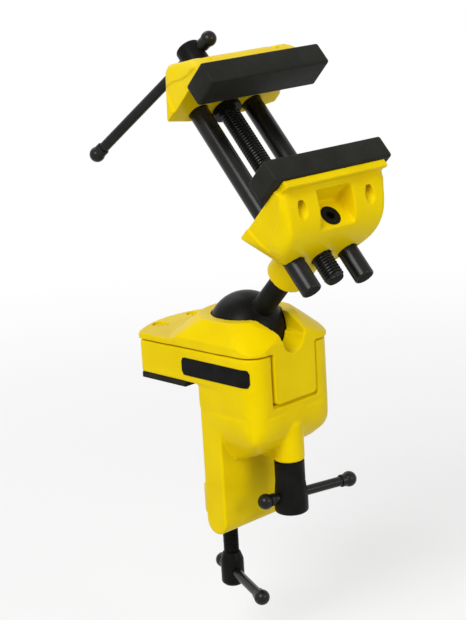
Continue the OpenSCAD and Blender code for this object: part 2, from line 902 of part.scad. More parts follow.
module nut_screw() {
    low = rod_z + lead_d / 2 + 1;
    head_top = jaw_top - pocket_drop - slice_t;
    color(steel)
        on_stem()
            difference() {
                union() {
                    translate([0, 0, low])
                        cylinder(d = nut_screw_head_d / 2, h = head_top - low - 1);
                    translate([0, 0, head_top - nut_screw_head_h])
                        cylinder(d1 = nut_screw_head_d / 2, d2 = nut_screw_head_d, h = nut_screw_head_h);
                }
                translate([0, 0, head_top - hex_deep])
                    cylinder(d = hex_w / cos(30), h = nut_screw_head_h, $fn = 6);
            }
}

module jaw_pad(back, way) {
    translate([-jaw_pad_w / 2, way > 0 ? back : back - jaw_pad_t, jaw_top - jaw_pad_h])
        cube([jaw_pad_w, jaw_pad_t, jaw_pad_h]);
}

module fixed_jaw_pad() {
    color(soft)
        on_stem()
            jaw_pad(fixed_back, 1);
}

module moving_jaw() {
    color(paint)
        on_stem()
            difference() {
                translate([0, moving_axis, 0])
                    mirror([0, 1, 0])
                        jaw_casting();
                for (s = [-1, 1])
                    translate([s * rod_span / 2, rod_end, rod_z])
                        rotate([90, 0, 0])
                            cylinder(d = rod_d + 2 * run_fit, h = over);
                translate([0, moving_axis + over, rod_z])
                    rotate([90, 0, 0])
                        cylinder(d = lead_neck_d + 2 * run_fit, h = 2 * over);
            }
}

module moving_jaw_pad() {
    color(soft)
        on_stem()
            jaw_pad(moving_back, -1);
}

module guide_rod(side) {
    color(steel)
        on_stem()
            translate([side * rod_span / 2, rod_end, rod_z])
                rotate([90, 0, 0])
                    cylinder(d = rod_d, h = rod_end + rod_reach);
}

module guide_rod_left() {
    guide_rod(-1);
}

module guide_rod_right() {
    guide_rod(1);
}

module lead_screw() {
    hub_y = moving_face + head_gap;
    thread_end = moving_back - head_gap - clip_t - head_gap;
    color(steel)
        on_stem()
            translate([0, 0, rod_z])
                difference() {
                    union() {
                        translate([0, thread_end, 0])
                            rotate([90, 0, 0])
                                cylinder(d = lead_d, h = thread_end + lead_reach);
                        translate([0, hub_y + 1, 0])
                            rotate([90, 0, 0])
                                cylinder(d = lead_neck_d, h = hub_y - thread_end + 2);
                        translate([0, hub_y, 0])
                            rotate([-90, 0, 0])
                                rotate_extrude()
                                    polygon([[0, 0], [lead_hub_d / 2, 0],
                                        [lead_hub_d / 2, lead_hub_l - hub_chamfer],
                                        [lead_hub_d / 2 - hub_chamfer, lead_hub_l], [0, lead_hub_l]]);
                    }
                    translate([0, lead_bar_y, 0])
                        rotate([0, vise_bar_turn, 0])
                            bar(2 * lead_hub_d, vise_bar_d + 2 * run_fit);
                }
}

module lead_screw_clip() {
    color(steel)
        on_stem()
            translate([0, moving_back - head_gap, rod_z])
                rotate([90, 0, 0])
                    difference() {
                        cylinder(d = lead_d + 2 * clip_w, h = clip_t);
                        translate([0, 0, -1])
                            cylinder(d = lead_neck_d + 2 * run_fit, h = clip_t + 2);
                    }
}

module vise_place() {
    on_stem()
        translate([0, lead_bar_y, rod_z])
            rotate([0, vise_bar_turn, 0])
                translate([-vise_bar_share * bar_free(vise_bar_l, vise_ball_d, lead_hub_d), 0, 0])
                    children();
}

module vise_bar() {
    color(steel)
        vise_place()
            bar(vise_bar_l, vise_bar_d);
}

module vise_bar_ends() {
    color(steel)
        vise_place()
            bar_ends(vise_bar_l, vise_bar_d, vise_ball_d);
}

clamp_frame();
table_pad();
socket_cover();
cover_screws();
ball_seat();
clamp_screw();
clamp_foot();
clamp_bar();
clamp_bar_ends();
lock_screw();
lock_knob();
lock_bar();
lock_bar_ends();
ball_stem();
fixed_jaw();
fixed_jaw_pad();
lead_nut();
nut_screw();
moving_jaw();
moving_jaw_pad();
guide_rod_left();
guide_rod_right();
lead_screw();
lead_screw_clip();
vise_bar();
vise_bar_ends();
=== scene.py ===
import math

import bmesh
import bpy
from mathutils import Matrix, Vector


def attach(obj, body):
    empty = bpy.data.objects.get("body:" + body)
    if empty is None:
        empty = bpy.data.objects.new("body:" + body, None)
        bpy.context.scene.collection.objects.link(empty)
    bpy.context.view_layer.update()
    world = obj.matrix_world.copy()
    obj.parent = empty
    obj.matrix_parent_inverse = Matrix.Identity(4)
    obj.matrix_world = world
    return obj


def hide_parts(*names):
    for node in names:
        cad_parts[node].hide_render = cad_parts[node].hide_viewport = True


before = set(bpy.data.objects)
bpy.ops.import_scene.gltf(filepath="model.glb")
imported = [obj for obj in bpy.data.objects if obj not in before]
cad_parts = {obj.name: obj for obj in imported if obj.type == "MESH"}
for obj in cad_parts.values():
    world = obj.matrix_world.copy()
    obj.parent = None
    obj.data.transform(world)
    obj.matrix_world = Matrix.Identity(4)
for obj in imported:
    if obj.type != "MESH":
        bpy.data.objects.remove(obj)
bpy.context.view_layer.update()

MM = 0.001

# Making of meshes: sides of round pieces, steps of rounded rims, flat and sharp edges
TURNED_SIDES = 64
ROD_SIDES = 72
THREAD_SIDES = 48
THREAD_STEPS = 8
THREAD_FLANK = 1.6
RIM_STEPS = 4
BEVEL_SEGMENTS = 4
FLAT = math.radians(2)
SHARP = math.radians(32)
WELD_METRES = 1e-6
RELAX_FACTOR = 0.5
NOISE_ROUGHNESS = 0.55

# Sizes are in millimetres and angles in degrees, in the row frame unless a note says otherwise.
# The head's own axes start at the ball's centre, with Y along the rods and Z along the stem.
BALL_CENTRE = Vector((0, -21, 26))
HEAD_SWIVEL = -6
HEAD_TILT = 45

# Guide rods and jaw spindle, in the head's axes
ROD_HEIGHT = 72.9
ROD_SIDE = 16.5
ROD_FRONT = -25.6
ROD_BACK = 101.7
ROD_RADIUS = 5
ROD_EDGE = 0.7
CAP_STAND = 0.08
CAP_DEPTH = 1.0
LEAD_FRONT = -23.0
LEAD_TIP_LENGTH = 0.3
LEAD_TIP_RADIUS = 4.0
LEAD_THREAD_END = 79.0
LEAD_THREAD_DEPTH = 0.75
LEAD_RADIUS = 5
LEAD_NECK_RADIUS = 4.5
LEAD_NECK_STEP = 0.05
LEAD_PITCH = 1.5
LEAD_HUB_START = 105.0
LEAD_HUB_SINK = 1.0
LEAD_HUB_LENGTH = 16.0
LEAD_HUB_RADIUS = 6.6
LEAD_HUB_EDGE = 1.5
LEAD_BAR_PLACE = 115.7
VISE_BAR_TURN = -70
VISE_BAR_BORE = 2.76

# Spindle of the table clamp
CLAMP_SCREW_RADIUS = 4
CLAMP_ROOT_RADIUS = 3.0
CLAMP_ROOT_LOW = -98.0
CLAMP_THREAD_LOW = -97.5
CLAMP_THREAD_HIGH = -25.5
CLAMP_THREAD_DEPTH = 0.65
CLAMP_PITCH = 1.25
CLAMP_FOOT_LOW = -25.3
CLAMP_PIN_TOP = -20.3
CLAMP_PIN_RADIUS = 2.5
CLAMP_HUB_RADIUS = 6.0
# Radius and height of each point of its hub, upwards
CLAMP_HUB_PROFILE = (
    (4.1, -115.0), (4.5, -114.8), (5.6, -113.8), (6.0, -113.0),
    (6.0, -101.6), (5.8, -100.6), (4.6, -97.3), (4.2, -97.0),
)
CLAMP_BAR_LEVEL = -107.0
CLAMP_BAR_TURN = 65
SMALL_BAR_BORE = 2.56

# Body, arm, leg and lower jaw of the frame
BODY_HALF = 28.5
BODY_FRONT = -52.0
BODY_CORNER = 10.0
LEG_FRONT = -25.7
LEG_REAR = -11.7
ARM_UNDERSIDE = 2.7
CREASE_BAND = 2.0
CREASE_DEPTH = 1.1
CREASE_LENGTH = 20.0
CREASE_HEIGHT = 0.8
CLAMP_BORE = 4.32
LOWER_JAW_TOP = -55.0
CUT_HALF = 40.0
CUT_FRONT = -90.0
CUT_LOW = -60.0
CUT_TOP = 60.0

# Plain plate on the body
PLATE_REAR = -2.5
PLATE_LOW = 6.4
PLATE_HIGH = 15.4
PLATE_BEND = 34
PLATE_ROUND = 2.0
PLATE_STAND = 0.35
PLATE_SINK = 0.6
PLATE_COLUMNS = 48

# Belly: the body's lower part, down to its chin
BELLY_CUT_TOP = -13.0
BELLY_CUT_BACK = -26.0
BELLY_TOP = -11.0
BELLY_BEND = -14.0
BELLY_SLOPE_START = -27.0
BELLY_SLOPE = 0.64
BELLY_LEVELS = 17
CHIN_ROUND = 7.0
# Its underside in the side view, from the front face to the inside of the leg
BELLY_PROFILE = (
    (-52.0, -15.5), (-51.4, -19.0), (-50.0, -22.8), (-47.4, -26.6), (-43.8, -29.6),
    (-39.2, -32.2), (-32.1, -35.0), (-25.7, -36.8), (-20.0, -38.0),
)

# Lock: its boss and web on the frame, its knob and its bar
LOCK_PLACE = -45.0
LOCK_BORE = 4.3
BOSS_RADIUS = 7.8
BOSS_EDGE = 0.6
BOSS_LOW = -37.4
BOSS_TOP = -18.0
BOSS_PEAK = -15.0
BOSS_PEAK_RADIUS = 5.3
WEB_HALF = 5.2
WEB_LOW = -37.1
WEB_BACK = -24.7
KNOB_TOP = -37.7
KNOB_NECK_LOW = -49.0
KNOB_TAPER_LOW = -56.4
KNOB_LOW = -64.8
KNOB_NECK_RADIUS = 7.55
KNOB_RADIUS = 8.5
KNOB_EDGE = 1.6
KNOB_LINE = 0.15
LOCK_BAR_LEVEL = -56.3
LOCK_BAR_TURN = -13.6

# Window in the frame for the cover's tongue, and the tongue
PANEL_HALF = 15.65
PANEL_LOW = -5.4
PANEL_BACK = -36.85
PANEL_LIP_LOW = -6.4
PANEL_LIP_TOP = 0.0
PANEL_LIP_BACK = -49.8
TONGUE_HALF = 14.5
TONGUE_LOW = -4.7
TONGUE_ROUND = 2.4

# Jaws, in the head's axes; a drop is counted down from the pads' top
PAD_TOP = 113.4
FIXED_BACK = 12.6
MOVING_BACK = 82.6
JAW_FACE_DEPTH = 22.1
JAW_SHOULDER_DROP = 8.0
JAW_SHOULDER_DEPTH = 3.0
JAW_LIP_DROP = 4.0
JAW_LIP_DEPTH = 3.8
JAW_FALL = 40.0
JAW_BULGE = 5
JAW_SLICES = 10
JAW_SLICE_SHIFT = 0.6
JAW_FRONT_HALF = 30.0
JAW_WALL_DROP = 8.6
LIP_SHARE = 0.45
JAW_SLANT = 0.7
JAW_SLANT_RISE = 2.6
JAW_RISE_LENGTH = 4.0
JAW_HIDDEN = 0.9
JAW_THIN = 0.3

# Stage; the lamps' places and the distances from the vise are in metres
FLOOR_LEVEL = -153.0
FLOOR_HALF_METRES = 4.0
FLOOR_ROUGHNESS = 0.9
FLOOR_GREY = (0.62, 0.62, 0.62)
FLOOR_PALE = (0.96, 0.96, 0.96)
SHADOW_NEAR = 0.3
SHADOW_FAR = 0.9
WHITE_NEAR = 0.5
WHITE_FAR = 1.0
WORLD_COLOUR = (1, 1, 1, 1)
WORLD_LIGHT = 0.35
WORLD_WHITE = 1.0
LAMP_AIM = Vector((0, 0, 0.06))

# Camera, fitted to the photograph: its axes, its place from the ball, and its lens in pixels
CAMERA_RIGHT = Vector((0.701, -0.711, -0.058))
CAMERA_FORWARD = Vector((0.677, 0.689, -0.259))
CAMERA_FROM_BALL = Vector((-673.12, -675.76, 265.56))
IMAGE_HEIGHT = 620
FOCAL_PIXELS = 2000
SENSOR = 36


def moved(x, y, z):
    """A shift by so many millimetres."""
    return Matrix.Translation(Vector((x, y, z)) * MM)


HEAD = (
    moved(*BALL_CENTRE)
    @ Matrix.Rotation(math.radians(HEAD_SWIVEL), 4, "Z")
    @ Matrix.Rotation(math.radians(HEAD_TILT), 4, "X")
)
# These turn a piece that was made along Z
ALONG_X = Matrix.Rotation(math.radians(90), 4, "Y")
ALONG_Y = Matrix.Rotation(math.radians(-90), 4, "X")
UNMOVED = Matrix.Identity(4)


def limited(value):
    """A value kept between 0 and 1."""
    return min(max(0, value), 1)


def add_object(name, data):
    """A new object in the scene."""
    obj = bpy.data.objects.new(name, data)
    bpy.context.scene.collection.objects.link(obj)
    return obj


def assign(node, name, value):
    """Sets a socket's own value."""
    node.inputs[name].default_value = value


def new_material(name, colour, roughness):
    """A principled material; returns it with its node tree and shader."""
    material = bpy.data.materials.new(name)
    material.use_nodes = True
    tree = material.node_tree
    shader = tree.nodes["Principled BSDF"]
    assign(shader, "Base Color", (*colour, 1))
    assign(shader, "Roughness", roughness)
    return material, tree, shader


def noise(tree, scale, detail):
    """A noise texture on object coordinates, at so many features per metre."""
    coords = tree.nodes.new("ShaderNodeTexCoord")
    texture = tree.nodes.new("ShaderNodeTexNoise")
    assign(texture, "Scale", scale)
    assign(texture, "Detail", detail)
    assign(texture, "Roughness", NOISE_ROUGHNESS)
    tree.links.new(coords.outputs["Object"], texture.inputs["Vector"])
    return texture.outputs["Fac"]


def ramp(tree, value, low, high, start=0.3, end=0.7):
    """Maps a value from start to end onto two colours."""
    node = tree.nodes.new("ShaderNodeValToRGB")
    node.color_ramp.elements[0].position = start
    node.color_ramp.elements[1].position = end
    node.color_ramp.elements[0].color = (*low, 1)
    node.color_ramp.elements[1].color = (*high, 1)
    tree.links.new(value, node.inputs["Fac"])
    return node.outputs["Color"]


def span(tree, value, low, high):
    """Maps a value from 0 to 1 onto a range."""
    node = tree.nodes.new("ShaderNodeMapRange")
    assign(node, "To Min", low)
    assign(node, "To Max", high)
    tree.links.new(value, node.inputs["Value"])
    return node.outputs["Result"]


def bump(tree, shader, value, height, strength):
    """Adds a bump of so many metres to a shader."""
    node = tree.nodes.new("ShaderNodeBump")
    assign(node, "Distance", height)
    assign(node, "Strength", strength)
    tree.links.new(value, node.inputs["Height"])
    tree.links.new(node.outputs["Normal"], shader.inputs["Normal"])


def surface(name, colour, roughness, specular, tone, dullness, grain=None, tint=None):
    """A material whose tone and roughness vary a little over it, with a fine grain if one is given."""
    material, tree, shader = new_material(name, colour, roughness)
    tones = noise(tree, tone["scale"], tone["detail"])
    tree.links.new(ramp(tree, tones, tone["low"], tone["high"]), shader.inputs["Base Color"])
    spots = noise(tree, dullness["scale"], dullness["detail"])
    tree.links.new(
        span(tree, spots, dullness["low"], dullness["high"]), shader.inputs["Roughness"]
    )
    if grain:
        relief = noise(tree, grain["scale"], grain["detail"])
        bump(tree, shader, relief, grain["height"], grain["strength"])
    assign(shader, "Specular IOR Level", specular)
    if tint:
        assign(shader, "Specular Tint", (*tint, 1))
    return material


# Semi-gloss enamel over a casting: a faint orange peel and slow changes of tone
PAINT = surface(
    "yellow_paint",
    colour=(0.83, 0.61, 0.001),
    roughness=0.36,
    specular=0.11,
    tone=dict(scale=38, detail=3, low=(0.79, 0.57, 0.0006), high=(0.87, 0.65, 0.0014)),
    dullness=dict(scale=210, detail=5, low=0.28, high=0.44),
    grain=dict(scale=700, detail=2, height=0.00012, strength=0.16),
    tint=(1.0, 0.86, 0.2),
)
# Black-oxide steel with fine drawn marks and a satin sheen
STEEL = surface(
    "black_steel",
    colour=(0.006, 0.006, 0.005),
    roughness=0.33,
    specular=0.06,
    tone=dict(scale=120, detail=6, low=(0.004, 0.004, 0.0035), high=(0.009, 0.009, 0.008)),
    dullness=dict(scale=900, detail=6, low=0.26, high=0.42),
    grain=dict(scale=2600, detail=3, height=0.00003, strength=0.2),
)
# Blackened bar stock with a ground, shiny side
GROUND = surface(
    "ground_steel",
    colour=(0.006, 0.006, 0.005),
    roughness=0.3,
    specular=0.2,
    tone=dict(scale=150, detail=6, low=(0.004, 0.004, 0.0035), high=(0.010, 0.010, 0.009)),
    dullness=dict(scale=900, detail=6, low=0.2, high=0.3),
    grain=dict(scale=2600, detail=3, height=0.00003, strength=0.2),
)
# Dull blackened end of bar stock, with the marks of the saw
SAWN = surface(
    "sawn_steel",
    colour=(0.007, 0.007, 0.006),
    roughness=0.6,
    specular=0.03,
    tone=dict(scale=600, detail=5, low=(0.005, 0.005, 0.004), high=(0.012, 0.012, 0.011)),
    dullness=dict(scale=1500, detail=5, low=0.5, high=0.7),
    grain=dict(scale=3200, detail=3, height=0.00004, strength=0.25),
)
# Moulded soft plastic: matt, with a fine grain
SOFT = surface(
    "soft_black",
    colour=(0.014, 0.014, 0.012),
    roughness=0.55,
    specular=0.1,
    tone=dict(scale=90, detail=5, low=(0.009, 0.009, 0.007), high=(0.016, 0.016, 0.013)),
    dullness=dict(scale=500, detail=6, low=0.46, high=0.64),
    grain=dict(scale=1800, detail=4, height=0.00006, strength=0.25),
)
# Printed black plate with a low sheen
PLATE = surface(
    "plate_black",
    colour=(0.007, 0.007, 0.007),
    roughness=0.4,
    specular=0.045,
    tone=dict(scale=160, detail=4, low=(0.005, 0.005, 0.005), high=(0.010, 0.010, 0.010)),
    dullness=dict(scale=420, detail=4, low=0.34, high=0.48),
)


def shade(obj, material):
    """Smooth shading broken at sharp edges, and one material."""
    mesh = obj.data
    mesh.materials.clear()
    mesh.materials.append(material)
    mesh.shade_smooth()
    mesh.set_sharp_from_angle(angle=SHARP)


def settle(obj):
    """Applies an object's modifiers to its mesh."""
    bpy.context.view_layer.update()
    graph = bpy.context.evaluated_depsgraph_get()
    made = bpy.data.meshes.new_from_object(obj.evaluated_get(graph))
    obj.modifiers.clear()
    obj.data = made


def place(obj, body, slot, material, *nodes):
    """Gives a finished piece its looks and its body, and hides the CAD nodes that it stands for."""
    shade(obj, material)
    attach(obj, body)
    if nodes:
        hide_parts(*nodes)


def copy_of(node, name):
    """A new object with a welded copy of a CAD node's mesh."""
    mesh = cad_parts[node].data.copy()
    mesh.materials.clear()
    work = bmesh.new()
    work.from_mesh(mesh)
    bmesh.ops.remove_doubles(work, verts=work.verts, dist=WELD_METRES)
    work.to_mesh(mesh)
    work.free()
    return add_object(name, mesh)


def reshape(obj, rule):
    """Moves each point of a mesh by a rule that works in millimetres."""
    for vertex in obj.data.vertices:
        vertex.co = rule(vertex.co / MM) * MM


def casting(node, body, voxel, passes, axes=UNMOVED, prepare=None, form=None, fit=None):
    """A casting with its edges softened: the CAD solid remeshed along its own axes and relaxed."""
    obj = copy_of(node, node + "_casting")
    if prepare:
        prepare(obj)
    obj.data.transform(axes.inverted())
    remesh = obj.modifiers.new("Remesh", "REMESH")
    remesh.mode = "VOXEL"
    remesh.voxel_size = voxel * MM
    settle(obj)
    if form:
        reshape(obj, form)
    relax = obj.modifiers.new("Relax", "SMOOTH")
    relax.factor = RELAX_FACTOR
    relax.iterations = passes
    settle(obj)
    if fit:
        reshape(obj, fit)
    obj.data.transform(axes)
    place(obj, body, "yellow_paint", PAINT, node)


def eased(node, body, radius, slot, material):
    """A piece with its sharp edges rounded, from its plain CAD solid."""
    obj = copy_of(node, node + "_eased")
    work = bmesh.new()
    work.from_mesh(obj.data)
    bmesh.ops.dissolve_limit(work, angle_limit=FLAT, verts=work.verts, edges=work.edges)
    work.to_mesh(obj.data)
    work.free()
    bevel = obj.modifiers.new("Bevel", "BEVEL")
    bevel.width = radius * MM
    bevel.segments = BEVEL_SEGMENTS
    bevel.limit_method = "ANGLE"
    bevel.angle_limit = SHARP
    settle(obj)
    place(obj, body, slot, material, node)


def ring(work, radius, height, count):
    """A ring of points round Z."""
    points = []
    for k in range(count):
        angle = 2 * math.pi * k / count
        points.append(work.verts.new((radius * math.cos(angle), radius * math.sin(angle), height)))
    return points


def skin(work, rings):
    """Faces between rings, closed at both ends."""
    for low, high in zip(rings, rings[1:]):
        for k in range(len(low)):
            after = (k + 1) % len(low)
            work.faces.new((low[k], low[after], high[after], high[k]))
    work.faces.new(list(reversed(rings[0])))
    work.faces.new(rings[-1])


def built(work, name, matrix=UNMOVED):
    """Turns mesh code in millimetres into an object at a place."""
    mesh = bpy.data.meshes.new(name)
    work.to_mesh(mesh)
    work.free()
    mesh.transform(Matrix.Scale(MM, 4))
    mesh.transform(matrix)
    return add_object(name, mesh)


def spun(name, profile, matrix=UNMOVED, count=TURNED_SIDES):
    """A turned piece: radius and height of each point of its profile, upwards."""
    work = bmesh.new()
    skin(work, [ring(work, radius, height, count) for radius, height in profile])
    return built(work, name, matrix)


def threaded_rings(work, radius, depth, pitch, low, high):
    """Rings of a threaded length; the crest climbs one pitch in each turn."""
    steps = round((high - low) / pitch * THREAD_STEPS)
    rings = []
    for i in range(steps + 1):
        height = low + (high - low) * i / steps
        fade = min(1, (height - low) / pitch, (high - height) / pitch)
        row = []
        for k in range(THREAD_SIDES):
            turn = k / THREAD_SIDES
            phase = (height / pitch - turn) % 1
            crest = min(1, THREAD_FLANK * abs(2 * phase - 1))
            reach = radius - depth * (1 - crest) - depth * (1 - fade) * crest
            angle = 2 * math.pi * turn
            row.append(work.verts.new((reach * math.cos(angle), reach * math.sin(angle), height)))
        rings.append(row)
    return rings


def cut(obj, cutter):
    """Takes a cutter's shape out of an object."""
    carve = obj.modifiers.new("Cut", "BOOLEAN")
    carve.operation = "DIFFERENCE"
    carve.object = cutter
    carve.solver = "EXACT"
    settle(obj)
    bpy.data.objects.remove(cutter)


def drill(obj, radius, length, matrix):
    """Bores a round hole through an object."""
    cut(obj, spun("cutter", [(radius, -length), (radius, length)], matrix))


def round_end(radius, low, high, edge):
    """Profile of a plain round bar with rounded rims."""
    lower = []
    upper = []
    for k in range(RIM_STEPS + 1):
        angle = math.pi / 2 * k / RIM_STEPS
        inset = edge * (1 - math.sin(angle))
        rise = edge * (1 - math.cos(angle))
        lower.append((radius - inset, low + rise))
        upper.append((radius - inset, high - rise))
    return lower + list(reversed(upper))


def block(name, low, high):
    """A plain block between two corners."""
    work = bmesh.new()
    bmesh.ops.create_cube(work, size=1)
    for vertex in work.verts:
        for axis in range(3):
            vertex.co[axis] = low[axis] if vertex.co[axis] < 0 else high[axis]
    return built(work, name)


def end_cap(name, radius, low, matrix, body):
    """The dull sawn face at the free end of a bar."""
    cap = spun(name, round_end(radius, low, low + CAP_DEPTH, CAP_STAND), matrix)
    place(cap, body, "black_steel", SAWN)


def guide_rod(side, node):
    """A ground guide rod with a chamfered free end."""
    axis = HEAD @ moved(side * ROD_SIDE, 0, ROD_HEIGHT) @ ALONG_Y
    profile = round_end(ROD_RADIUS, ROD_FRONT + CAP_STAND, ROD_BACK, ROD_EDGE)
    rod = spun(node + "_turned", profile, axis, ROD_SIDES)
    place(rod, "slider", "black_steel", GROUND, node)
    end_cap(node + "_end", ROD_RADIUS - ROD_EDGE, ROD_FRONT, axis, "slider")


def lead_screw():
    """The jaw spindle: a cut thread, a neck and a drilled hub."""
    axis = HEAD @ moved(0, 0, ROD_HEIGHT) @ ALONG_Y
    work = bmesh.new()
    tip = LEAD_FRONT + CAP_STAND
    rings = [ring(work, LEAD_TIP_RADIUS, tip, THREAD_SIDES)]
    rings += threaded_rings(
        work, LEAD_RADIUS, LEAD_THREAD_DEPTH, LEAD_PITCH, tip + LEAD_TIP_LENGTH, LEAD_THREAD_END
    )
    for place_along in (LEAD_THREAD_END + LEAD_NECK_STEP, LEAD_HUB_START + LEAD_HUB_SINK):
        rings.append(ring(work, LEAD_NECK_RADIUS, place_along, THREAD_SIDES))
    skin(work, rings)
    screw = built(work, "lead_screw_thread", axis)
    place(screw, "lead", "black_steel", GROUND, "lead_screw")
    end_cap("lead_screw_end", LEAD_TIP_RADIUS, LEAD_FRONT, axis, "lead")
    hub_end = LEAD_HUB_START + LEAD_HUB_LENGTH
    profile = round_end(LEAD_HUB_RADIUS, LEAD_HUB_START, hub_end, LEAD_HUB_EDGE)
    hub = spun("lead_screw_hub", profile, axis)
    turn = Matrix.Rotation(math.radians(VISE_BAR_TURN), 4, "Y")
    bore = HEAD @ moved(0, LEAD_BAR_PLACE, ROD_HEIGHT) @ turn @ ALONG_X
    drill(hub, VISE_BAR_BORE, 2 * LEAD_HUB_RADIUS, bore)
    place(hub, "lead", "black_steel", STEEL, "lead_screw")


def clamp_screw():
    """The table clamp's spindle: its pin, its thread and its drilled hub."""
    work = bmesh.new()
    rings = [ring(work, CLAMP_ROOT_RADIUS, CLAMP_ROOT_LOW, THREAD_SIDES)]
    rings += threaded_rings(
        work, CLAMP_SCREW_RADIUS, CLAMP_THREAD_DEPTH, CLAMP_PITCH, CLAMP_THREAD_LOW,
        CLAMP_THREAD_HIGH,
    )
    for height in (CLAMP_FOOT_LOW, CLAMP_PIN_TOP):
        rings.append(ring(work, CLAMP_PIN_RADIUS, height, THREAD_SIDES))
    skin(work, rings)
    screw = built(work, "clamp_screw_thread")
    place(screw, "spindle", "black_steel", STEEL, "clamp_screw")
    hub = spun("clamp_screw_hub", CLAMP_HUB_PROFILE)
    turn = Matrix.Rotation(math.radians(CLAMP_BAR_TURN), 4, "Z")
    bore = moved(0, 0, CLAMP_BAR_LEVEL) @ turn @ ALONG_X
    drill(hub, SMALL_BAR_BORE, 2 * CLAMP_HUB_RADIUS, bore)
    place(hub, "spindle", "black_steel", STEEL, "clamp_screw")


def lock_knob():
    """The lock's knob: a neck, a slow taper, a drilled hub and a rounded foot."""
    bar = round_end(KNOB_RADIUS, KNOB_LOW, KNOB_TOP, KNOB_EDGE)
    foot = bar[: len(bar) // 2]
    profile = foot + [
        (KNOB_RADIUS, KNOB_TAPER_LOW - KNOB_LINE),
        (KNOB_RADIUS - KNOB_LINE / 2, KNOB_TAPER_LOW + KNOB_LINE),
        (KNOB_NECK_RADIUS + KNOB_LINE / 2, KNOB_NECK_LOW - KNOB_LINE),
        (KNOB_NECK_RADIUS, KNOB_NECK_LOW + KNOB_LINE),
        (KNOB_NECK_RADIUS, KNOB_TOP - 2 * KNOB_LINE),
        (KNOB_NECK_RADIUS - 2 * KNOB_LINE, KNOB_TOP),
    ]
    knob = spun("lock_knob_turned", profile, moved(0, LOCK_PLACE, 0))
    turn = Matrix.Rotation(math.radians(LOCK_BAR_TURN), 4, "Z")
    bore = moved(0, LOCK_PLACE, LOCK_BAR_LEVEL) @ turn @ ALONG_X
    drill(knob, SMALL_BAR_BORE, 2 * KNOB_RADIUS, bore)
    place(knob, "lock", "black_steel", STEEL, "lock_knob")


def belly_half(y, z, low):
    """Half width of the belly at a place along it and a height above its underside."""
    corner = max(0, BODY_FRONT + BODY_CORNER - y)
    plan = BODY_HALF - BODY_CORNER + math.sqrt(BODY_CORNER**2 - corner**2)
    bend = BELLY_BEND - BELLY_SLOPE_START
    down = min(max(0, BELLY_BEND - z), bend)
    further = max(0, BELLY_SLOPE_START - z)
    wall = BODY_HALF - BELLY_SLOPE * (down**2 / (2 * bend) + further)
    rounding = CHIN_ROUND * max(0, (LEG_FRONT - y) / (LEG_FRONT - BODY_FRONT))
    below = min(max(0, low + rounding - z), rounding)
    inset = rounding - math.sqrt(rounding**2 - below**2)
    return min(plan, wall) - inset


def belly():
    """The body's lower part: a rounded chin that narrows towards the leg."""
    work = bmesh.new()
    rings = []
    for y, low in reversed(BELLY_PROFILE):
        step = (low - BELLY_TOP) / (BELLY_LEVELS - 1)
        heights = [BELLY_TOP + step * k for k in range(BELLY_LEVELS)]
        left = [work.verts.new((-belly_half(y, z, low), y, z)) for z in heights]
        right = [work.verts.new((belly_half(y, z, low), y, z)) for z in reversed(heights)]
        rings.append(left + right)
    skin(work, rings)
    bmesh.ops.recalc_face_normals(work, faces=work.faces)
    return built(work, "belly")


def lower_body(obj):
    """Widens the window, and puts the chin, the lock's boss and its web in place of plain ones."""
    cutters = (
        ((-PANEL_HALF, CUT_FRONT, PANEL_LOW), (PANEL_HALF, PANEL_BACK, CUT_TOP)),
        ((-PANEL_HALF, CUT_FRONT, PANEL_LIP_LOW), (PANEL_HALF, PANEL_LIP_BACK, PANEL_LIP_TOP)),
        ((-CUT_HALF, CUT_FRONT, CUT_LOW), (CUT_HALF, BELLY_CUT_BACK, BELLY_CUT_TOP)),
        ((-CUT_HALF, CUT_FRONT, CUT_LOW), (CUT_HALF, BODY_FRONT, ARM_UNDERSIDE)),
    )
    for low, high in cutters:
        cut(obj, block("cutter", low, high))
    axis = moved(0, LOCK_PLACE, 0)
    profile = (
        (BOSS_RADIUS - BOSS_EDGE, BOSS_LOW),
        (BOSS_RADIUS, BOSS_LOW + BOSS_EDGE),
        (BOSS_RADIUS, BOSS_TOP),
        (BOSS_PEAK_RADIUS, BOSS_PEAK),
    )
    boss = spun("boss", profile, axis)
    chin = belly()
    web = block(
        "web",
        (-WEB_HALF, LOCK_PLACE + LOCK_BORE, WEB_LOW),
        (WEB_HALF, WEB_BACK, BELLY_BEND),
    )
    for piece in (boss, chin):
        drill(piece, LOCK_BORE, -2 * BOSS_LOW, axis)
    work = bmesh.new()
    work.from_mesh(obj.data)
    for piece in (boss, chin, web):
        work.from_mesh(piece.data)
        bpy.data.objects.remove(piece)
    work.to_mesh(obj.data)
    work.free()


def leg_crease(point):
    """Draws the leg's sides in under the arm, most at the rear edge."""
    x, y, z = point
    if BODY_HALF - abs(x) > CREASE_BAND:
        return point
    along = limited((y - LEG_REAR + CREASE_LENGTH) / CREASE_LENGTH)
    under = limited((ARM_UNDERSIDE + CREASE_HEIGHT / 2 - z) / CREASE_HEIGHT)
    return Vector((x - math.copysign(CREASE_DEPTH * along * under, x), y, z))


def clamp_bore(point):
    """Keeps the bore in the lower jaw at its full width, clear of the spindle's thread."""
    reach = math.hypot(point.x, point.y)
    if point.z > LOWER_JAW_TOP or reach >= CLAMP_BORE:
        return point
    grow = CLAMP_BORE / reach
    return Vector((point.x * grow, point.y * grow, point.z))


def tongue_corners(point):
    """Rounds the lower corners of the cover's tongue."""
    x, y, z = point
    aside = abs(x) - TONGUE_HALF + TONGUE_ROUND
    below = TONGUE_LOW + TONGUE_ROUND - z
    if aside <= 0 or below <= 0:
        return point
    squeeze = max(aside, below) / math.hypot(aside, below)
    side = TONGUE_HALF - TONGUE_ROUND + aside * squeeze
    return Vector((math.copysign(side, x), y, TONGUE_LOW + TONGUE_ROUND - below * squeeze))


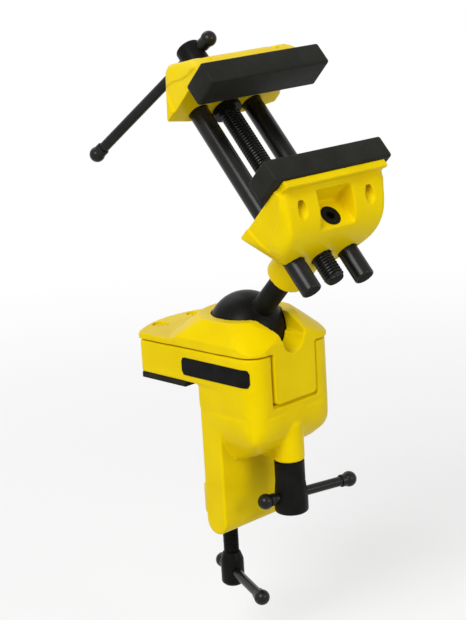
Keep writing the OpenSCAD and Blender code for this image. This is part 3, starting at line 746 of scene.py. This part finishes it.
def jaw_depth(drop):
    """Depth of the plain jaw behind its pad, at a drop below the pad's top."""
    if drop < JAW_LIP_DROP:
        return JAW_LIP_DEPTH
    share = limited(1 - (drop - JAW_SHOULDER_DROP) / JAW_FALL)
    return JAW_FACE_DEPTH - (JAW_FACE_DEPTH - JAW_SHOULDER_DEPTH) * share**JAW_BULGE


def unfaceted(drop):
    """How much deeper the jaw's curved face is than the solid's flat facets at a drop."""
    drop += JAW_SLICE_SHIFT
    if drop <= JAW_SHOULDER_DROP or drop >= JAW_SHOULDER_DROP + JAW_FALL:
        return 1
    step = JAW_FALL / JAW_SLICES
    above = JAW_SHOULDER_DROP + step * math.floor((drop - JAW_SHOULDER_DROP) / step)
    part = (drop - above) / step
    facet = jaw_depth(above) * (1 - part) + jaw_depth(above + step) * part
    return jaw_depth(drop) / facet


def fixed_face(point):
    """Evens the fixed jaw's curved face and draws in the ends of its lip."""
    x, y, z = point
    drop = PAD_TOP - z
    depth = FIXED_BACK - y
    if depth > 0:
        y = FIXED_BACK - depth * unfaceted(drop)
    past = abs(x) - JAW_FRONT_HALF
    if past > 0 and drop < JAW_WALL_DROP:
        x = math.copysign(JAW_FRONT_HALF + LIP_SHARE * past, x)
    return Vector((x, y, z))


def slant_back(point):
    """Slants the moving jaw's back, which falls away from under the pad's rear edge."""
    x, y, z = point
    drop = PAD_TOP - z
    depth = y - MOVING_BACK
    if depth <= 0:
        return point
    rise = JAW_SLANT_RISE * limited((drop - JAW_SHOULDER_DROP) / JAW_RISE_LENGTH)
    limit = max(JAW_THIN, JAW_SLANT * drop - JAW_HIDDEN) + rise
    share = unfaceted(drop) * min(1, limit / jaw_depth(drop))
    return Vector((x, MOVING_BACK + depth * share, z))


def name_plate():
    """A plain black plate with round corners, let onto the body's left wall and its corner."""
    straight = BODY_FRONT + BODY_CORNER
    length = PLATE_REAR - straight + BODY_CORNER * math.radians(PLATE_BEND)
    inner = []
    outer = []
    work = bmesh.new()
    for k in range(PLATE_COLUMNS + 1):
        along = length * k / PLATE_COLUMNS
        from_end = max(0, min(along, length - along, PLATE_ROUND))
        drop = PLATE_ROUND - math.sqrt(PLATE_ROUND**2 - (PLATE_ROUND - from_end) ** 2)
        spot = PLATE_REAR - along
        angle = max(0, (straight - spot) / BODY_CORNER)
        for rows, stand in ((inner, -PLATE_SINK), (outer, PLATE_STAND)):
            if angle == 0:
                x = -BODY_HALF - stand
                y = spot
            else:
                reach = BODY_CORNER + stand
                x = -BODY_HALF + BODY_CORNER - reach * math.cos(angle)
                y = straight - reach * math.sin(angle)
            low = work.verts.new((x, y, PLATE_LOW + drop))
            high = work.verts.new((x, y, PLATE_HIGH - drop))
            rows.append((low, high))
    for a in range(PLATE_COLUMNS):
        b = a + 1
        work.faces.new((outer[a][0], outer[a][1], outer[b][1], outer[b][0]))
        work.faces.new((inner[a][0], inner[b][0], inner[b][1], inner[a][1]))
        work.faces.new((outer[a][1], inner[a][1], inner[b][1], outer[b][1]))
        work.faces.new((outer[a][0], outer[b][0], inner[b][0], inner[a][0]))
    work.faces.new((outer[0][0], inner[0][0], inner[0][1], outer[0][1]))
    work.faces.new((outer[-1][0], outer[-1][1], inner[-1][1], inner[-1][0]))
    bmesh.ops.recalc_face_normals(work, faces=work.faces)
    plate = built(work, "name_plate")
    place(plate, "frame", "soft_black", PLATE)


casting(
    "clamp_frame", "frame", voxel=0.6, passes=7, prepare=lower_body, form=leg_crease, fit=clamp_bore
)
casting("socket_cover", "cover", voxel=0.5, passes=6, form=tongue_corners)
casting("fixed_jaw", "head", voxel=0.45, passes=7, axes=HEAD, form=fixed_face)
casting("moving_jaw", "slider", voxel=0.45, passes=7, axes=HEAD, form=slant_back)
eased("fixed_jaw_pad", "head", radius=1.4, slot="soft_black", material=SOFT)
eased("moving_jaw_pad", "slider", radius=1.4, slot="soft_black", material=SOFT)
eased("cover_screws", "frame", radius=0.25, slot="yellow_paint", material=PAINT)
eased("table_pad", "frame", radius=0.3, slot="soft_black", material=SOFT)
eased("ball_stem", "ball", radius=0.5, slot="black_steel", material=STEEL)
eased("clamp_foot", "foot", radius=0.4, slot="black_steel", material=STEEL)
for bar in ("lock", "clamp", "vise"):
    eased(bar + "_bar_ends", bar + "_tommy", radius=0.25, slot="black_steel", material=GROUND)
guide_rod(-1, "guide_rod_left")
guide_rod(1, "guide_rod_right")
lead_screw()
clamp_screw()
lock_knob()
name_plate()

# Looks of the CAD nodes that are shown as they are; the others among them are black steel
CARRIED = {"ball_seat": SOFT, "lock_bar": GROUND, "clamp_bar": GROUND, "vise_bar": GROUND}
for name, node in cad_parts.items():
    if not node.hide_render:
        node.data.materials.clear()
        node.data.materials.append(CARRIED.get(name, STEEL))


def greater(tree, first, second):
    """The larger of two values."""
    node = tree.nodes.new("ShaderNodeMath")
    node.operation = "MAXIMUM"
    tree.links.new(first, node.inputs[0])
    tree.links.new(second, node.inputs[1])
    return node.outputs["Value"]


def seen_rays(tree):
    """1 for the rays that show a surface to the eye, straight or in a reflection."""
    rays = tree.nodes.new("ShaderNodeLightPath")
    seen = greater(tree, rays.outputs["Is Camera Ray"], rays.outputs["Is Glossy Ray"])
    return greater(tree, seen, rays.outputs["Is Transmission Ray"])


def floor():
    """A plain pale floor below the vise, white further away, which keeps the vise's shadow."""
    half = FLOOR_HALF_METRES
    level = FLOOR_LEVEL * MM
    mesh = bpy.data.meshes.new("floor")
    mesh.from_pydata(
        [(-half, -half, level), (half, -half, level), (half, half, level), (-half, half, level)],
        [],
        [(0, 1, 2, 3)],
    )
    obj = add_object("floor", mesh)
    material, tree, shader = new_material("floor", FLOOR_GREY, FLOOR_ROUGHNESS)
    shown = seen_rays(tree)
    tree.links.new(ramp(tree, shown, FLOOR_GREY, FLOOR_PALE, 0, 1), shader.inputs["Base Color"])
    coords = tree.nodes.new("ShaderNodeTexCoord")
    away = tree.nodes.new("ShaderNodeVectorMath")
    away.operation = "LENGTH"
    tree.links.new(coords.outputs["Object"], away.inputs[0])
    whiteness = tree.nodes.new("ShaderNodeMapRange")
    whiteness.interpolation_type = "SMOOTHSTEP"
    assign(whiteness, "From Min", SHADOW_NEAR)
    assign(whiteness, "From Max", SHADOW_FAR)
    assign(whiteness, "To Min", WHITE_NEAR)
    assign(whiteness, "To Max", WHITE_FAR)
    tree.links.new(away.outputs["Value"], whiteness.inputs["Value"])
    share = tree.nodes.new("ShaderNodeMath")
    share.operation = "MULTIPLY"
    tree.links.new(shown, share.inputs[0])
    tree.links.new(whiteness.outputs["Result"], share.inputs[1])
    white = tree.nodes.new("ShaderNodeEmission")
    mix = tree.nodes.new("ShaderNodeMixShader")
    tree.links.new(share.outputs["Value"], mix.inputs["Fac"])
    tree.links.new(shader.outputs["BSDF"], mix.inputs[1])
    tree.links.new(white.outputs["Emission"], mix.inputs[2])
    tree.links.new(mix.outputs["Shader"], tree.nodes["Material Output"].inputs["Surface"])
    mesh.materials.append(material)


def lamp(name, place_at, size, power):
    """A square soft light that faces the vise."""
    data = bpy.data.lights.new(name, "AREA")
    data.size = size
    data.energy = power
    obj = add_object(name, data)
    obj.location = place_at
    aim = LAMP_AIM - Vector(place_at)
    obj.rotation_euler = aim.to_track_quat("-Z", "Y").to_euler()


def photo_camera():
    """The camera, which stands where the photograph was taken from."""
    data = bpy.data.cameras.new("camera")
    data.sensor_width = SENSOR
    data.lens = FOCAL_PIXELS / IMAGE_HEIGHT * SENSOR
    camera = add_object("camera", data)
    forward = CAMERA_FORWARD.normalized()
    right = (CAMERA_RIGHT - forward * CAMERA_RIGHT.dot(forward)).normalized()
    up = right.cross(forward)
    turn = Matrix((right, up, -forward)).transposed().to_4x4()
    camera.matrix_world = moved(*(BALL_CENTRE + CAMERA_FROM_BALL)) @ turn
    bpy.context.scene.camera = camera


def backdrop():
    """A world that is white to the eye and lights the vise softly."""
    world = bpy.data.worlds.new("world")
    world.use_nodes = True
    tree = world.node_tree
    background = tree.nodes["Background"]
    assign(background, "Color", WORLD_COLOUR)
    strength = span(tree, seen_rays(tree), WORLD_LIGHT, WORLD_WHITE)
    tree.links.new(strength, background.inputs["Strength"])
    bpy.context.scene.world = world


photo_camera()
floor()
lamp("key", place_at=(-1.35, -0.45, 1.15), size=0.9, power=23)
lamp("fill", place_at=(0.2, -1.5, 0.5), size=0.6, power=5.5)
lamp("rear", place_at=(0.2, 1.0, 1.3), size=1.0, power=5)
backdrop()
bpy.context.scene.view_settings.view_transform = "Standard"
